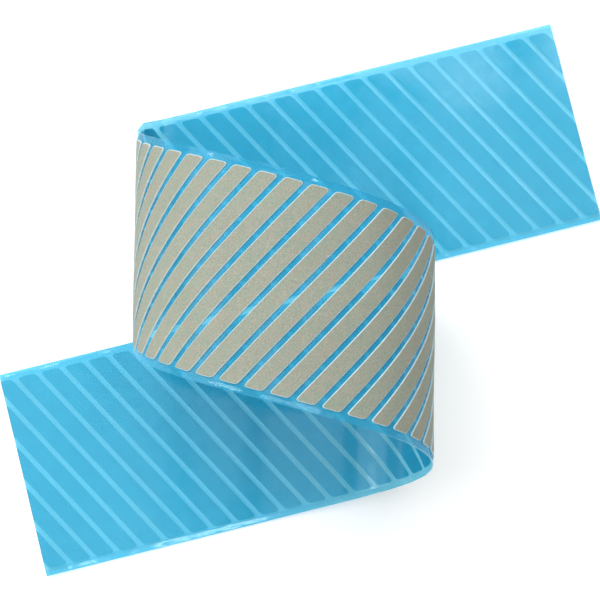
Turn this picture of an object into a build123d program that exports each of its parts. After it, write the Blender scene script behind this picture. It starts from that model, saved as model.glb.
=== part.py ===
from build123d import *
from math import asin, cos, degrees, floor, radians, sin, tan
import os

# Cut length of segmented grip tape, lying on a table in one loose loop.
#
# A clear film carries a row of slanted grip segments on its outer face. The film lies flat
# at both ends with the segments underneath, and rises between them into one loop whose axis
# is parallel to Y. The tape crosses that axis at a small angle, so the two flat tails lie
# side by side. Every point of the tape is placed by rolling a flat layout up around the loop:
#   along, across   position on the flat tape, from its centre line
#   run, y          the same position measured square to the loop's axis and along it

# Tape, flat
tape_width = 50.8
film_thickness = 0.25
segment_thickness = 0.35
bond_line = 0.01
segment_pitch = 5.96
segment_gap = 1.43
segment_angle = 60.5
edge_margin = 1.7
sharp_corner_radius = 0.5
blunt_corner_radius = 1.5
first_gap = 118.5

# Loop and tails
tail_spacing = 1.446
lower_tail = 59.2
upper_tail = 96.7

# Section of the loop, at the film's outer face, from the lower tail to the upper one
right_foot_radius = 115.0
right_foot_turn = 10.7
lower_right_radius = 25.1
upper_right_radius = 27.0
crown_radius = 50.0
crown_turn = 36.0
upper_left_radius = 30.2
lower_left_radius = 6.5
left_foot_radius = 90.0
left_foot_turn = 5.0

point_spacing = 1.0
side_clearance = 0.02
cutter_reach = 2.5

shoulder_turn = 90 - crown_turn / 2
outer_face = segment_thickness + bond_line

# Arcs of the section as (radius, turn): over the loop, then down onto the upper tail
ARCS_OVER = (
    (right_foot_radius, right_foot_turn),
    (lower_right_radius, 90 - right_foot_turn),
    (upper_right_radius, shoulder_turn),
    (crown_radius, crown_turn),
    (upper_left_radius, shoulder_turn),
)
ARCS_DOWN = (
    (lower_left_radius, 90 - left_foot_turn),
    (left_foot_radius, left_foot_turn),
)


def left_wall():
    """Length of the upright left side that brings the loop back down to the table."""
    height, heading = 0.0, 0.0
    for radius, turn in ARCS_OVER + ARCS_DOWN:
        height += radius * (cos(radians(heading)) - cos(radians(heading + turn)))
        heading += turn
    return height


def section_pieces():
    """The section as (start run, x, z, heading, radius, length); a straight has radius None."""
    run, x, z, heading = 0.0, 0.0, outer_face, 0.0
    pieces = []
    for radius, amount in ARCS_OVER + ((None, left_wall()),) + ARCS_DOWN:
        length = amount if radius is None else radius * radians(amount)
        pieces.append((run, x, z, heading, radius, length))
        x, z, heading = along_piece(pieces[-1], length)
        run += length
    return pieces


def along_piece(piece, distance):
    """Point and heading at a distance along one piece of the section."""
    _, x, z, heading, radius, _ = piece
    start = radians(heading)
    if radius is None:
        return x + distance * cos(start), z + distance * sin(start), heading
    end = start + distance / radius
    x += radius * (sin(end) - sin(start))
    z += radius * (cos(start) - cos(end))
    return x, z, heading + degrees(distance / radius)


SECTION = section_pieces()
LOOP_RUN = SECTION[-1][0] + SECTION[-1][5]
LOOP_END_X = along_piece(SECTION[-1], SECTION[-1][5])[0]

# The tape crosses the loop's axis at the angle that sets its two tails side by side.
tape_angle = degrees(asin((tape_width + tail_spacing) / (LOOP_RUN - LOOP_END_X)))
TAPE_END = LOOP_RUN / cos(radians(tape_angle)) + upper_tail


def place(run, y, inward):
    """The point at a run and y, a distance inward from the film's outer face."""
    if run <= 0:
        return Vector(run, y, outer_face + inward)
    if run >= LOOP_RUN:
        return Vector(LOOP_END_X + run - LOOP_RUN, y, outer_face + inward)
    piece = [p for p in SECTION if p[0] <= run][-1]
    x, z, heading = along_piece(piece, run - piece[0])
    turned = radians(heading)
    return Vector(x - inward * sin(turned), y, z + inward * cos(turned))


def rolled(along, across):
    """Run and y of a point of the flat tape."""
    turn = radians(tape_angle)
    return along * cos(turn) - across * sin(turn), along * sin(turn) + across * cos(turn)


# Bands: sheets that follow the loop between two straight lines of the flat layout

def rail(start, end, line, inward):
    """Curve over one line of the layout between two runs, at a depth from the film's outer face."""
    slope, offset = line
    steps = max(2, round((end - start) / point_spacing))
    runs = [start + (end - start) * i / steps for i in range(steps + 1)]
    points = [place(run, run * slope + offset, inward) for run in runs]
    tangents = []
    for run, other in ((start, start + 1e-4), (end - 1e-4, end)):
        tangents.append(place(other, other * slope, inward) - place(run, run * slope, inward))
    return Edge.make_spline(points, tangents)


def band(start, end, line, y_width, depths):
    """Sheet from a line to its copy further along Y, between two runs and two depths."""
    joints = [piece[0] for piece in SECTION] + [LOOP_RUN]
    stops = [start] + [joint for joint in joints if start < joint < end] + [end]
    pieces = []
    for low, high in zip(stops, stops[1:]):
        ribbon = Face.make_surface_from_curves(*(rail(low, high, line, depth) for depth in depths))
        pieces.append(Solid.extrude(ribbon, Vector(0, y_width, 0)))
    return pieces[0].fuse(*pieces[1:]) if len(pieces) > 1 else pieces[0]


# Film

def film_loop():
    """The film from its lower tail to its upper one."""
    slope = tan(radians(tape_angle))
    reach = tape_width / 2 / cos(radians(tape_angle))
    return band(0, LOOP_RUN, (slope, -reach), 2 * reach, (0, film_thickness))


def film_tail(joint_run, end_along):
    """Flat tail of the film, from its joint with the loop to the square cut end."""
    slope = tan(radians(tape_angle))
    offset = tape_width / 2 / cos(radians(tape_angle))
    joint = [(joint_run, joint_run * slope + side * offset) for side in (-1, 1)]
    end = [rolled(end_along, side * tape_width / 2) for side in (1, -1)]
    corners = [place(run, y, 0) for run, y in joint + end]
    face = Face(Wire.make_polygon(corners, close=True))
    return Solid.extrude(face, Vector(0, 0, film_thickness))


def make_film():
    return film_loop().fuse(film_tail(0, -lower_tail), film_tail(LOOP_RUN, TAPE_END))


# Grip segments

def segment_outline(index):
    """Ends of a segment's two long sides on the flat tape, each from its low end to its high end."""
    reach = tape_width / 2 - edge_margin
    lean = 1 / tan(radians(segment_angle))
    near = first_gap + index * segment_pitch + segment_gap / 2
    far = near + segment_pitch - segment_gap
    return [[(start - across * lean, across) for across in (-reach, reach)] for start in (near, far)]


def rounded(face):
    """A segment's outline with its two sharp corners rounded less than its two blunt ones."""
    middle = face.center().X

    def from_middle(corner):
        return abs(corner.X - middle)

    face = face.fillet_2d(blunt_corner_radius, sorted(face.vertices(), key=from_middle)[:2])
    return face.fillet_2d(sharp_corner_radius, sorted(face.vertices(), key=from_middle)[-2:])


def flat_segment(outline):
    """A segment on a flat tail, trimmed square where the tape was cut."""
    near, far = outline
    corners = [near[0], far[0], far[1], near[1]]
    face = Face(Wire.make_polygon([Vector(*corner) for corner in corners], close=True))
    blank = Solid.extrude(rounded(face), Vector(0, 0, segment_thickness))
    kept = Solid.make_box(lower_tail + TAPE_END, tape_width, segment_thickness)
    kept = kept.moved(Location((-lower_tail, -tape_width / 2, 0)))
    turned = Location((0, 0, 0), (0, 0, tape_angle))
    shift = LOOP_END_X - LOOP_RUN if near[0][0] > 0 else 0
    return (blank & kept).moved(Location((shift, 0, 0)) * turned)


def end_cutter(outline, end):
    """Tool that ends a segment: all that lies outside its rounded outline, square to the sheet there."""
    near, far = outline
    spare = side_clearance / sin(radians(segment_angle))
    low, high = (near[0][0] - spare, near[0][1]), (near[1][0] - spare, near[1][1])
    wide = far[0][0] - near[0][0] + 2 * spare
    corners = [low, (low[0] + wide, low[1]), (high[0] + wide, high[1]), high]
    kept = Face(Wire.make_polygon([Vector(*corner) for corner in corners], close=True))
    along, across = (near[end][0] + far[end][0]) / 2, near[end][1]
    depth = 2 * segment_pitch
    outward = 1 if end else -1
    middle = across + outward * (depth / 2 - blunt_corner_radius)
    blank = Face.make_rect(4 * segment_pitch, depth).moved(Location((along, middle, 0)))
    flat = blank.cut(rounded(kept)).moved(Location((-along, -across, 0)))
    tool = Solid.extrude(flat, Vector(0, 0, 2 * cutter_reach))
    run, y = rolled(along, across)
    here = place(run, y, 0)
    ahead = (place(run + 1e-4, y, 0) - here).normalized()
    frame = Plane(here, x_dir=ahead, z_dir=ahead.cross(Vector(0, 1, 0))).location
    return tool.moved(frame * Location((0, 0, -cutter_reach), (0, 0, tape_angle)))


def curved_segment(outline):
    """A segment that follows the loop: a slanted band with a rounded end cut at each edge."""
    near, far = outline
    start, start_y = rolled(*near[1])
    end, end_y = rolled(*near[0])
    slope = (end_y - start_y) / (end - start)
    turn = radians(tape_angle)
    length = far[0][0] - near[0][0]
    y_width = length * (sin(turn) - slope * cos(turn))
    line = (slope, start_y - slope * start)
    ends = (start - blunt_corner_radius, end + length + blunt_corner_radius)
    slanted = band(*ends, line, y_width, (-outer_face, -bond_line))
    trimmed = slanted.cut(end_cutter(outline, 0), end_cutter(outline, 1))
    return max(trimmed.solids(), key=lambda solid: solid.volume)


def make_segment(index):
    outline = segment_outline(index)
    runs = [rolled(*corner)[0] for side in outline for corner in side]
    if max(runs) <= 0 or min(runs) >= LOOP_RUN:
        return flat_segment(outline)
    return curved_segment(outline)


def segment_indices():
    """Segments that have some part on the tape, split into trimmed low, whole and trimmed high."""
    low, whole, high = [], [], []
    index = floor((-lower_tail - first_gap) / segment_pitch) - 3
    while segment_outline(index)[0][1][0] + sharp_corner_radius < TAPE_END:
        near, far = segment_outline(index)
        if near[1][0] >= -lower_tail and far[0][0] <= TAPE_END:
            whole.append(index)
        elif near[1][0] < -lower_tail < far[0][0] - sharp_corner_radius:
            low.append(index)
        elif far[0][0] > TAPE_END:
            high.append(index)
        index += 1
    return low, whole, high


film = make_film()
middle = film.bounding_box().center()
origin = Location((-middle.X, -middle.Y, 0))
low_trims, whole_segments, high_trims = segment_indices()

os.makedirs("parts", exist_ok=True)
export_step(film.moved(origin), "parts/carrier_film.step")
for count, index in enumerate(whole_segments, start=1):
    export_step(make_segment(index).moved(origin), f"parts/grip_segment_{count:02d}.step")
for name, indices in (("lower_end_segments", low_trims), ("upper_end_segments", high_trims)):
    trims = Compound(children=[make_segment(index).moved(origin) for index in indices])
    export_step(trims, f"parts/{name}.step")
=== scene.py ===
from math import asin, cos, pi, radians, sin, tan

import bmesh
import bpy
import numpy as np
from mathutils import Matrix, Vector


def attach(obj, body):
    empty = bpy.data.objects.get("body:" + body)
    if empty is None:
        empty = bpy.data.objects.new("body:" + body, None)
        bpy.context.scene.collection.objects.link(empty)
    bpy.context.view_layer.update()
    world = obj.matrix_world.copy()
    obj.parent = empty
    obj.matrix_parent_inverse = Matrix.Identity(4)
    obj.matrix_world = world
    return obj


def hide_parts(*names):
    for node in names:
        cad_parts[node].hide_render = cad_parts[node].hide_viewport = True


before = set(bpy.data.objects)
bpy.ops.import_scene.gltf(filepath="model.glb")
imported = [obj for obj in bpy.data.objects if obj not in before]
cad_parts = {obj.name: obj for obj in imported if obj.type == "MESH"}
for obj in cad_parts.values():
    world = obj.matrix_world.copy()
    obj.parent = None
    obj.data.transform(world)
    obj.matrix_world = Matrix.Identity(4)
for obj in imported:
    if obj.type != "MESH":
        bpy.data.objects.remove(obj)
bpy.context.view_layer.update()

# Cut length of segmented grip tape in one loose loop. Each piece is made flat, in millimetres, as
# (along, across, depth) from the tape's centre line and the film's outer face, and is then rolled
# up around the loop and scaled to metres.
MM = 0.001

# Tape, flat: the design's own sizes, in millimetres and degrees
TAPE_WIDTH = 50.8
FILM_THICKNESS = 0.25
SEGMENT_THICKNESS = 0.35
BOND_LINE = 0.01
PITCH = 5.96
GAP = 1.43
SEGMENT_ANGLE = radians(60.5)
EDGE_MARGIN = 1.7
SHARP_CORNER_RADIUS = 0.5
BLUNT_CORNER_RADIUS = 1.5
FIRST_GAP = 118.5
TAIL_SPACING = 1.446
LOWER_TAIL = 59.2
UPPER_TAIL = 96.7

# Section of the loop at the film's outer face: arcs as (radius, turn in degrees)
CROWN_TURN = 36.0
RIGHT_FOOT_TURN = 10.7
LEFT_FOOT_TURN = 5.0
SHOULDER_TURN = 90 - CROWN_TURN / 2
ARCS_OVER = (
    (115.0, RIGHT_FOOT_TURN),
    (25.1, 90 - RIGHT_FOOT_TURN),
    (27.0, SHOULDER_TURN),
    (50.0, CROWN_TURN),
    (30.2, SHOULDER_TURN),
)
ARCS_DOWN = ((6.5, 90 - LEFT_FOOT_TURN), (90.0, LEFT_FOOT_TURN))

OUTER_FACE = SEGMENT_THICKNESS + BOND_LINE
LEAN = 1 / tan(SEGMENT_ANGLE)
REACH = TAPE_WIDTH / 2 - EDGE_MARGIN
WHOLE_SEGMENTS = range(-27, 27)
LOWER_TRIMS = range(-32, -27)
UPPER_TRIMS = range(27, 32)

# Finish of the shapes, in millimetres
BEVEL = 0.16
GAP_GROOVE = 0.02
MARGIN_DROOP = 0.30
CURL_REACH = 16.0
CURL_LIFT = 0.35
RANDOM_SEED = 7

# Waves of the whole tape as (lift, wavelength along, wavelength across, phase); negative runs back
LONG_WAVE = (0.09, 43.0, 120.0, 0.7)
SHORT_WAVE = (0.035, 24.0, -75.0, 2.1)
CROSS_WAVE = (0.05, 160.0, 34.0, 1.3)

# Waves of the film's free margins as (wavelength, share of the droop)
MEAN_DROOP = 0.72
FLUTTER = ((61.0, 0.14), (17.0, 0.12), (7.9, 0.12), (PITCH, 0.1), (3.3, 0.07))

# Mesh spacing, in millimetres: offsets in from an edge, and the even step between the last ones
FILM_ROWS = (0, 0.22, 0.48, 0.78, 1.1, 1.4, 1.7, 2.1, 2.8, 3.8)
FILM_COLUMNS = (0.35, GAP / 2, 1.05, 1.7)
SEGMENT_COLUMNS = (0, 0.03, 0.075, BEVEL, 0.3, 0.75)
SEGMENT_ROWS = (0, 0.03, 0.075, BEVEL, 0.3, 0.6, 1.0, 1.5)
FILL_STEP = 1.3

# Studio: the floor's drop and glow, and the lights as (name, place, size, power), in metres and watts
FLOOR_HALF = 3.0
FLOOR_DROP = 0.00006
FLOOR_GLOW = 0.25
LIGHTS = (
    ("key_light", (-0.45, 0.55, 0.75), 0.60, 6.7),
    ("back_light", (0.15, 0.45, 0.80), 0.50, 2.2),
    ("overhead_left", (-0.17, -0.03, 0.85), 0.24, 0.2),
    ("overhead_right", (0.19, 0.15, 0.85), 0.24, 0.2),
    ("edge_light", (0.08, -0.34, 0.75), 0.20, 1.0),
    ("left_light", (-0.70, 0.05, 0.55), 0.60, 1.5),
    ("left_glint", (-0.50, -0.10, 0.40), 0.10, 0.16),
)
LIT_POINT = (0, 0, 0.02)
SKY_COLOUR = (0.97, 0.985, 1)
SKY_STRENGTH = 0.31

# Camera: nearly overhead, tipped a little towards the lower edge
CAMERA_DISTANCE = 0.50498
CAMERA_TILT = radians(4.69)
CAMERA_ROLL = radians(-0.516)
CAMERA_TARGET = (-0.000296, -0.000640, 0)
LENS = 122.15
SENSOR = 36.0


# Section of the loop

def section_pieces():
    """The section as (start run, x, z, heading, radius, length); the left side is straight."""
    height, heading = 0.0, 0.0
    for radius, turn in ARCS_OVER + ARCS_DOWN:
        height += radius * (cos(heading) - cos(heading + radians(turn)))
        heading += radians(turn)
    run, x, z, heading = 0.0, 0.0, OUTER_FACE, 0.0
    pieces = []
    for radius, amount in ARCS_OVER + ((None, height),) + ARCS_DOWN:
        length = amount if radius is None else radius * radians(amount)
        pieces.append((run, x, z, heading, radius, length))
        x, z, heading = along_piece(pieces[-1], length)
        run += length
    return pieces


def along_piece(piece, distance):
    """x, z and heading at a distance along one piece of the section."""
    _, x, z, heading, radius, _ = piece
    if radius is None:
        return x + distance * cos(heading), z + distance * sin(heading), heading
    end = heading + distance / radius
    x = x + radius * (np.sin(end) - sin(heading))
    z = z + radius * (cos(heading) - np.cos(end))
    return x, z, end


SECTION = section_pieces()
LOOP_RUN = SECTION[-1][0] + SECTION[-1][5]
LOOP_END_X = float(along_piece(SECTION[-1], SECTION[-1][5])[0])
TAPE_ANGLE = asin((TAPE_WIDTH + TAIL_SPACING) / (LOOP_RUN - LOOP_END_X))
TAPE_END = LOOP_RUN / cos(TAPE_ANGLE) + UPPER_TAIL


def placed(along, across, inward):
    """Points around the loop, in millimetres, for arrays of flat positions and depths."""
    run = along * cos(TAPE_ANGLE) - across * sin(TAPE_ANGLE)
    y = along * sin(TAPE_ANGLE) + across * cos(TAPE_ANGLE)
    x = np.where(run > LOOP_RUN, LOOP_END_X + run - LOOP_RUN, run)
    z = np.full_like(run, OUTER_FACE)
    heading = np.zeros_like(run)
    for piece in SECTION:
        inside = (run >= piece[0]) & (run < piece[0] + piece[5])
        x[inside], z[inside], heading[inside] = along_piece(piece, run[inside] - piece[0])
    return np.stack([x - inward * np.sin(heading), y, z + inward * np.cos(heading)], axis=1)


def film_middle():
    """Middle of the film's footprint, which is the part's origin."""
    along = np.array([-LOWER_TAIL, -LOWER_TAIL, TAPE_END, TAPE_END])
    across = np.array([-1, 1, -1, 1]) * TAPE_WIDTH / 2
    corners = placed(along, across, np.zeros(4))
    return (corners.min(axis=0) + corners.max(axis=0)) / 2 * np.array([1, 1, 0])


ORIGIN = film_middle()


# Shape of the sheet in its own plane

def smooth_step(low, high, value):
    t = np.clip((value - low) / (high - low), 0, 1)
    return t * t * (3 - 2 * t)


def waviness(along, across):
    """Gentle lift of the whole tape towards its inner face; it never presses into the table."""
    lift = 0
    for size, along_wave, across_wave, phase in (LONG_WAVE, SHORT_WAVE, CROSS_WAVE):
        turn = 2 * pi * (along / along_wave + across / across_wave) + phase
        lift = lift + size * (1 + np.sin(turn))
    near_end = np.minimum(along + LOWER_TAIL, TAPE_END - along)
    curl = (1 - smooth_step(0, CURL_REACH, near_end)) * (0.4 + 0.6 * (across / REACH) ** 2)
    return lift + CURL_LIFT * curl


def edge_flutter(along, side):
    """How far the free margin of the film droops at each place along it, as a share."""
    rng = np.random.default_rng(RANDOM_SEED + side)
    total = np.full_like(along, MEAN_DROOP)
    for wavelength, size in FLUTTER:
        total = total + size * np.sin(2 * pi * along / wavelength + rng.uniform(0, 2 * pi))
    return total


def beyond_segments(along, across):
    """Distance outside the segments' rounded outlines, negative where one is bonded."""
    from_gap = (along + across * LEAN - FIRST_GAP) % PITCH
    from_gap = np.minimum(from_gap, PITCH - from_gap)
    beside = (GAP / 2 - from_gap) * sin(SEGMENT_ANGLE)
    beyond = np.abs(across) - REACH
    corner = (SHARP_CORNER_RADIUS + BLUNT_CORNER_RADIUS) / 2
    return np.hypot(
        np.maximum(beside + corner, 0), np.maximum(beyond + corner, 0)
    ) - corner


def film_relief(along, across):
    """Depth that the film sinks by where no segment holds it: in the gaps and at its margins."""
    outside = beyond_segments(along, across)
    margin = np.maximum(np.abs(across) - REACH, 0) / EDGE_MARGIN
    droop = np.where(across > 0, edge_flutter(along, 1), edge_flutter(along, 0))
    groove = GAP_GROOVE * smooth_step(0.1, 0.6, outside) * (1 - margin)
    return groove + MARGIN_DROOP * droop * smooth_step(0.1, 1.0, margin)


# Meshes

def mesh_object(name, points, faces, materials, slots, sharp_angle):
    """Object from points in millimetres in the loop's frame."""
    mesh = bpy.data.meshes.new(name)
    mesh.from_pydata(((points - ORIGIN) * MM).tolist(), [], faces)
    mesh.validate()
    for material in materials:
        mesh.materials.append(material)
    mesh.polygons.foreach_set("material_index", slots)
    mesh.polygons.foreach_set("use_smooth", [True] * len(faces))
    mesh.set_sharp_from_angle(angle=sharp_angle)
    mesh.update()
    piece = bpy.data.objects.new(name, mesh)
    bpy.context.scene.collection.objects.link(piece)
    return piece


def mirrored(offsets, width):
    """Offsets from one side, an even fill, and the same offsets from the other side."""
    inner = width - 2 * offsets[-1]
    count = max(2, round(inner / FILL_STEP))
    fill = [offsets[-1] + inner * i / count for i in range(1, count)]
    return np.array([*offsets, *fill, *(width - o for o in reversed(offsets))])


def film_mesh(materials):
    """The film: one closed sheet whose grid follows the segments' slant."""
    beyond_middle = [PITCH - column for column in reversed(FILM_COLUMNS)]
    columns = np.array([0, *FILM_COLUMNS, PITCH / 2, *beyond_middle])
    first = int((-LOWER_TAIL - FIRST_GAP - REACH * LEAN) // PITCH) - 1
    last = int((TAPE_END - FIRST_GAP + REACH * LEAN) // PITCH) + 2
    lines = np.concatenate([FIRST_GAP + k * PITCH + columns for k in range(first, last)])
    rows = mirrored(FILM_ROWS, TAPE_WIDTH)
    across, slanted = np.meshgrid(rows - TAPE_WIDTH / 2, lines, indexing="ij")
    along = np.clip(slanted - across * LEAN, -LOWER_TAIL, TAPE_END)
    # Points past a cut end gather into one point of that end, a row at a time.
    number = np.arange(along.size).reshape(along.shape)
    for row in range(len(rows)):
        low = np.flatnonzero(along[row] <= -LOWER_TAIL)
        high = np.flatnonzero(along[row] >= TAPE_END)
        number[row, low] = number[row, low[-1]]
        number[row, high] = number[row, high[0]]
    quads = np.stack([number[:-1, :-1], number[:-1, 1:], number[1:, 1:], number[1:, :-1]], axis=-1)
    sheet = []
    for quad in quads.reshape(-1, 4):
        corners = list(dict.fromkeys(quad.tolist()))
        if len(corners) > 2:
            sheet.append(corners)
    used = np.unique(np.concatenate([np.array(face) for face in sheet]))
    renumber = {old: new for new, old in enumerate(used.tolist())}
    sheet = [[renumber[v] for v in face] for face in sheet]
    along, across = along.ravel()[used], across.ravel()[used]
    rise = waviness(along, across) - film_relief(along, across)
    outer = placed(along, across, rise)
    inner = placed(along, across, rise + FILM_THICKNESS)
    count = len(along)
    edges = {}
    for face in sheet:
        for a, b in zip(face, face[1:] + face[:1]):
            edges[(a, b)] = edges.get((a, b), 0) + 1
    rim = [(a, b) for a, b in edges if (b, a) not in edges]
    faces = [[v + count for v in face] for face in sheet]
    faces += [face[::-1] for face in sheet]
    faces += [[a, b, b + count, a + count] for a, b in rim]
    slots = [0] * (2 * len(sheet)) + [1] * len(rim)
    points = np.concatenate([outer, inner])
    return mesh_object("carrier_film_sheet", points, faces, materials, slots, radians(40))


def rounded_outline(points, start, width):
    """Points of a sharp parallelogram drawn in to its rounded outline, and how far inside each is."""
    from_near = (points[:, 0] + points[:, 1] * LEAN - start) * sin(SEGMENT_ANGLE)
    from_far = width * sin(SEGMENT_ANGLE) - from_near
    inside = np.minimum(np.minimum(from_near, from_far), REACH - np.abs(points[:, 1]))
    drawn = points.copy()
    for side, end in ((-1, -1), (-1, 1), (1, -1), (1, 1)):
        radius = BLUNT_CORNER_RADIUS if side == end else SHARP_CORNER_RADIUS
        edge = start + (width if side > 0 else 0) - side * radius / sin(SEGMENT_ANGLE)
        height = end * (REACH - radius)
        centre = np.array([edge - height * LEAN, height])
        normals = np.array([[side * sin(SEGMENT_ANGLE), side * cos(SEGMENT_ANGLE)], [0, end]])
        away = points - centre
        corner = (np.linalg.solve(normals.T, away.T) > 0).all(axis=0)
        length = np.linalg.norm(away, axis=1)
        share = (away @ normals.T).max(axis=1) / np.maximum(length, 1e-9)
        drawn[corner] = (centre + away * share[:, None])[corner]
        inside[corner] = (radius - length * share)[corner]
    return drawn, inside


def flat_segment(index):
    """One segment, flat: points (along, across, depth), faces, and each face's material slot."""
    start = FIRST_GAP + index * PITCH + GAP / 2
    width = PITCH - GAP
    wide = mirrored(SEGMENT_COLUMNS, width * sin(SEGMENT_ANGLE))
    long = mirrored(SEGMENT_ROWS, 2 * REACH)
    across, offset = np.meshgrid(long - REACH, wide / sin(SEGMENT_ANGLE), indexing="ij")
    sharp = np.stack([(start + offset - across * LEAN).ravel(), across.ravel()], axis=1)
    points, inside = rounded_outline(sharp, start, width)
    depth = BEVEL * (1 - np.sqrt(1 - np.clip(1 - inside / BEVEL, 0, 1) ** 2))
    count = len(points)
    free = np.column_stack([points, -OUTER_FACE + depth])
    bonded = np.column_stack([points, np.full(count, -BOND_LINE)])
    number = np.arange(count).reshape(across.shape)
    quads = np.stack([number[:-1, :-1], number[:-1, 1:], number[1:, 1:], number[1:, :-1]], axis=-1)
    quads = quads.reshape(-1, 4)
    # Bevelled rim faces take the edge material, whose pale colour is partly a painted highlight.
    bevelled = inside[quads].min(axis=1) < BEVEL * 0.5
    ring = [*number[0], *number[1:, -1], *number[-1, -2::-1], *number[-2:0:-1, 0]]
    walls = [[b, a, a + count, b + count] for a, b in zip(ring, ring[1:] + ring[:1])]
    faces = quads[:, ::-1].tolist() + (quads + count).tolist()
    faces += [[int(v) for v in wall] for wall in walls]
    slots = [int(edge) for edge in bevelled] + [2] * len(quads) + [1] * len(walls)
    return np.concatenate([free, bonded]), faces, slots


def trimmed(points, faces, slots, limit, direction):
    """Flat segments cut square at the end of the tape, with the cut closed."""
    mesh = bpy.data.meshes.new("trim")
    mesh.from_pydata(points.tolist(), [], faces)
    mesh.polygons.foreach_set("material_index", slots)
    bm = bmesh.new()
    bm.from_mesh(mesh)
    bpy.data.meshes.remove(mesh)
    whole = bm.verts[:] + bm.edges[:] + bm.faces[:]
    end, out = Vector((limit, 0, 0)), Vector((direction, 0, 0))
    bmesh.ops.bisect_plane(bm, geom=whole, dist=1e-5, plane_co=end, plane_no=out, clear_outer=True)
    open_edges = [edge for edge in bm.edges if edge.is_boundary]
    closed = bmesh.ops.holes_fill(bm, edges=open_edges, sides=0)["faces"]
    for face in closed:
        face.material_index = 1
    bmesh.ops.recalc_face_normals(bm, faces=bm.faces[:])
    bm.verts.index_update()
    points = np.array([vert.co for vert in bm.verts])
    faces = [[vert.index for vert in face.verts] for face in bm.faces]
    slots = [face.material_index for face in bm.faces]
    bm.free()
    return points, faces, slots


def segment_piece(name, indices, materials, limit=None, direction=0):
    """Segments as one piece: one whole segment, or the trimmed ones at a cut end."""
    all_points, all_faces, all_slots = [], [], []
    for index in indices:
        points, faces, slots = flat_segment(index)
        if limit is not None:
            points, faces, slots = trimmed(points, faces, slots, limit, direction)
        start = sum(len(group) for group in all_points)
        all_points.append(points)
        all_faces += [[v + start for v in face] for face in faces]
        all_slots += slots
    flat = np.concatenate(all_points)
    rise = waviness(flat[:, 0], flat[:, 1])
    points = placed(flat[:, 0], flat[:, 1], flat[:, 2] + rise)
    return mesh_object(name, points, all_faces, materials, all_slots, radians(50))


# Materials

def new_material(name):
    material = bpy.data.materials.new(name)
    material.use_nodes = True
    tree = material.node_tree
    tree.nodes.clear()
    output = tree.nodes.new("ShaderNodeOutputMaterial")
    return material, tree, output


def set_inputs(node, values):
    for name, value in values.items():
        node.inputs[name].default_value = value


def noise(tree, place, scale, detail, roughness, distortion=0.0):
    """Value of a 3-D noise whose scale is in repeats per metre."""
    node = tree.nodes.new("ShaderNodeTexNoise")
    values = {"Scale": scale, "Detail": detail, "Roughness": roughness, "Distortion": distortion}
    set_inputs(node, values)
    tree.links.new(place, node.inputs["Vector"])
    return node.outputs["Fac"]


def spread(tree, value, low, high, to_low, to_high):
    """A value's range stretched to another range."""
    node = tree.nodes.new("ShaderNodeMapRange")
    sockets = ("From Min", "From Max", "To Min", "To Max")
    set_inputs(node, dict(zip(sockets, (low, high, to_low, to_high))))
    tree.links.new(value, node.inputs["Value"])
    return node.outputs["Result"]


def blended(tree, share, first, second):
    """Mix of two colours, each a socket or a plain colour; share is a socket or a number."""
    node = tree.nodes.new("ShaderNodeMix")
    node.data_type = "RGBA"
    for socket, value in ((node.inputs[0], share), (node.inputs[6], first), (node.inputs[7], second)):
        if isinstance(value, bpy.types.NodeSocket):
            tree.links.new(value, socket)
        elif isinstance(value, tuple):
            socket.default_value = (*value, 1)
        else:
            socket.default_value = value
    return node.outputs[2]


def bumped(tree, height, distance, strength, normal=None):
    node = tree.nodes.new("ShaderNodeBump")
    set_inputs(node, {"Distance": distance, "Strength": strength})
    tree.links.new(height, node.inputs["Height"])
    if normal is not None:
        tree.links.new(normal, node.inputs["Normal"])
    return node.outputs["Normal"]


def object_place(tree):
    return tree.nodes.new("ShaderNodeTexCoord").outputs["Object"]


def principled(tree, colour, roughness, normal, values):
    shader = tree.nodes.new("ShaderNodeBsdfPrincipled")
    tree.links.new(colour, shader.inputs["Base Color"])
    tree.links.new(roughness, shader.inputs["Roughness"])
    tree.links.new(normal, shader.inputs["Normal"])
    set_inputs(shader, values)
    return shader


def film_material(name, tint, body, light_body, see_through, ior):
    """Clear tinted film: partly its own blue, partly what is behind it, with a gloss skin."""
    material, tree, output = new_material(name)
    place = object_place(tree)
    cloud = noise(tree, place, scale=28, detail=3, roughness=0.5)
    colour = blended(tree, spread(tree, cloud, 0.35, 0.65, 0, 1), body, light_body)
    scuffs = noise(tree, place, scale=420, detail=6, roughness=0.7, distortion=0.6)
    roughness = spread(tree, scuffs, 0.42, 0.7, 0.07, 0.24)
    ripple = noise(tree, place, scale=160, detail=2, roughness=0.5)
    skin = noise(tree, place, scale=1300, detail=3, roughness=0.6)
    normal = bumped(tree, ripple, distance=0.00025, strength=0.05)
    normal = bumped(tree, skin, distance=0.00003, strength=0.012, normal=normal)
    shader = principled(tree, colour, roughness, normal, {"IOR": ior})
    clear = tree.nodes.new("ShaderNodeBsdfTransparent")
    clear.inputs["Color"].default_value = (*tint, 1)
    mix = tree.nodes.new("ShaderNodeMixShader")
    mix.inputs[0].default_value = 1 - see_through
    tree.links.new(clear.outputs[0], mix.inputs[1])
    tree.links.new(shader.outputs[0], mix.inputs[2])
    tree.links.new(mix.outputs[0], output.inputs["Surface"])
    return material


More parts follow.
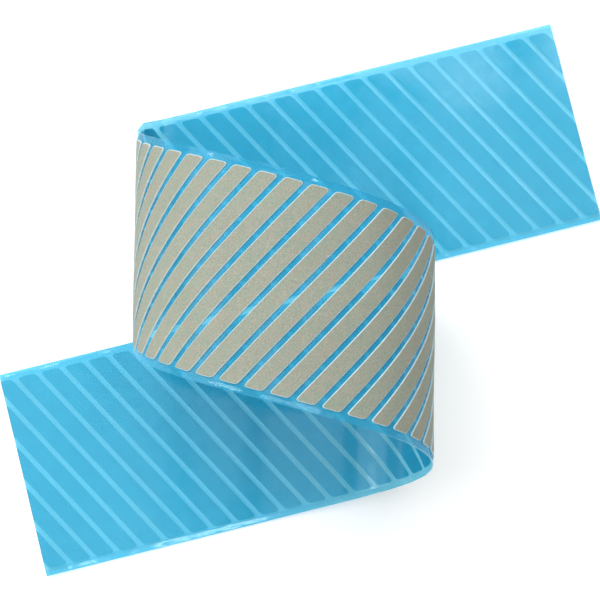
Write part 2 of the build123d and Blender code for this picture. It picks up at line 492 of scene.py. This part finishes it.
def grip_material():
    """Matte, finely grained grip surface, mottled between greenish and pinkish taupe."""
    material, tree, output = new_material("grip_surface")
    place = object_place(tree)
    mottle = noise(tree, place, scale=520, detail=4, roughness=0.65)
    colour = blended(
        tree, spread(tree, mottle, 0.38, 0.62, 0, 1), (0.285, 0.335, 0.262), (0.345, 0.330, 0.266)
    )
    drift = noise(tree, place, scale=45, detail=2, roughness=0.5)
    colour = blended(tree, spread(tree, drift, 0.35, 0.65, 0, 0.35), colour, (0.34, 0.375, 0.305))
    grain = noise(tree, place, scale=3400, detail=2, roughness=0.7)
    speckle = spread(tree, grain, 0.33, 0.67, 0.80, 1.16)
    tinted = tree.nodes.new("ShaderNodeVectorMath")
    tinted.operation = "SCALE"
    tree.links.new(colour, tinted.inputs[0])
    tree.links.new(speckle, tinted.inputs["Scale"])
    roughness = spread(tree, grain, 0.3, 0.7, 0.92, 0.68)
    normal = bumped(tree, grain, distance=0.00012, strength=0.55)
    shader = principled(tree, tinted.outputs[0], roughness, normal, {"Specular IOR Level": 0.35})
    tree.links.new(shader.outputs[0], output.inputs["Surface"])
    return material


def plain_grained(name, dark, light, scale, low_roughness, high_roughness, bump):
    """Even material with a soft mottle: cut edges of the segments, pale partly from a painted
    highlight, and their bonded side.
    """
    material, tree, output = new_material(name)
    place = object_place(tree)
    mottle = noise(tree, place, scale, detail=4, roughness=0.6)
    share = spread(tree, mottle, 0.35, 0.65, 0, 1)
    colour = blended(tree, share, dark, light)
    fine = noise(tree, place, scale * 6, detail=2, roughness=0.6)
    roughness = spread(tree, fine, 0.3, 0.7, low_roughness, high_roughness)
    normal = bumped(tree, fine, distance=0.00004, strength=bump)
    shader = principled(tree, colour, roughness, normal, {})
    tree.links.new(shader.outputs[0], output.inputs["Surface"])
    return material


# Pieces

film_face = film_material(
    "clear_blue_film", tint=(0.54, 0.87, 0.965), body=(0.07, 0.54, 0.71),
    light_body=(0.10, 0.60, 0.78), see_through=0.74, ior=2.0,
)
film_edge = film_material(
    "film_cut_edge", tint=(0.60, 0.88, 1.0), body=(0.40, 0.72, 0.88),
    light_body=(0.55, 0.82, 0.92), see_through=0.35, ior=1.6,
)
grip_face = grip_material()
# Segments' cut edges and bevelled rims: the pale cyan is partly the edge's own lighter tone and
# partly a painted highlight along the rims.
grip_edge_and_highlight = plain_grained(
    "grip_cut_edge_and_painted_highlight", dark=(0.46, 0.58, 0.58), light=(0.58, 0.70, 0.71),
    scale=900, low_roughness=0.45, high_roughness=0.7, bump=0.3,
)
bonded_face = plain_grained(
    "bonded_adhesive", dark=(0.14, 0.76, 0.81), light=(0.20, 0.84, 0.87),
    scale=260, low_roughness=0.35, high_roughness=0.6, bump=0.2,
)

film = film_mesh([film_face, film_edge])
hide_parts("carrier_film")
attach(film, "root")

segment_materials = [grip_face, grip_edge_and_highlight, bonded_face]
segments = []
for count, index in enumerate(WHOLE_SEGMENTS, start=1):
    node = f"grip_segment_{count:02d}"
    segments.append((node, segment_piece(node + "_pad", [index], segment_materials)))
lower = segment_piece("lower_end_pads", LOWER_TRIMS, segment_materials, -LOWER_TAIL, -1)
upper = segment_piece("upper_end_pads", UPPER_TRIMS, segment_materials, TAPE_END, 1)
segments += [("lower_end_segments", lower), ("upper_end_segments", upper)]
for node, piece in segments:
    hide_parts(node)
    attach(piece, "root")


# Studio

def floor_plane():
    mesh = bpy.data.meshes.new("studio_floor")
    signs = ((-1, -1), (1, -1), (1, 1), (-1, 1))
    corners = [(x * FLOOR_HALF, y * FLOOR_HALF, -FLOOR_DROP) for x, y in signs]
    mesh.from_pydata(corners, [], [(0, 1, 2, 3)])
    material, tree, output = new_material("studio_floor")
    place = object_place(tree)
    cloud = noise(tree, place, scale=6, detail=2, roughness=0.5)
    colour = blended(tree, cloud, (0.93, 0.93, 0.93), (0.96, 0.96, 0.96))
    roughness = spread(tree, cloud, 0, 1, 0.85, 0.95)
    grain = noise(tree, place, scale=900, detail=2, roughness=0.5)
    normal = bumped(tree, grain, distance=0.00002, strength=0.1)
    glow = {"Emission Color": (1, 1, 1, 1), "Emission Strength": FLOOR_GLOW}
    shader = principled(tree, colour, roughness, normal, {"Specular IOR Level": 0.1, **glow})
    tree.links.new(shader.outputs[0], output.inputs["Surface"])
    mesh.materials.append(material)
    floor = bpy.data.objects.new("studio_floor", mesh)
    bpy.context.scene.collection.objects.link(floor)
    return floor


def soft_light(name, place, size, power):
    """Square area light that faces the middle of the part."""
    light = bpy.data.lights.new(name, "AREA")
    light.shape = "SQUARE"
    light.size = size
    light.energy = power
    lamp = bpy.data.objects.new(name, light)
    lamp.location = place
    lamp.rotation_euler = (Vector(LIT_POINT) - Vector(place)).to_track_quat("-Z", "Y").to_euler()
    bpy.context.scene.collection.objects.link(lamp)


def studio_camera():
    view = Vector((0, sin(CAMERA_TILT), -cos(CAMERA_TILT)))
    right, up = Vector((1, 0, 0)), Vector((0, cos(CAMERA_TILT), sin(CAMERA_TILT)))
    turned_right = cos(CAMERA_ROLL) * right - sin(CAMERA_ROLL) * up
    turned_up = sin(CAMERA_ROLL) * right + cos(CAMERA_ROLL) * up
    lens = bpy.data.cameras.new("studio_camera")
    lens.sensor_width = SENSOR
    lens.lens = LENS
    lens.clip_start = 0.01
    camera = bpy.data.objects.new("studio_camera", lens)
    axes = Matrix((turned_right, turned_up, -view)).transposed().to_4x4()
    place = Vector(CAMERA_TARGET) - CAMERA_DISTANCE * view
    camera.matrix_world = Matrix.Translation(place) @ axes
    bpy.context.scene.collection.objects.link(camera)
    return camera


floor_plane()
for name, place, size, power in LIGHTS:
    soft_light(name, place, size, power)

world = bpy.data.worlds.new("studio_world")
world.use_nodes = True
sky = world.node_tree.nodes["Background"]
set_inputs(sky, {"Color": (*SKY_COLOUR, 1), "Strength": SKY_STRENGTH})
scene = bpy.context.scene
scene.world = world
scene.view_settings.view_transform = "Standard"
scene.camera = studio_camera()
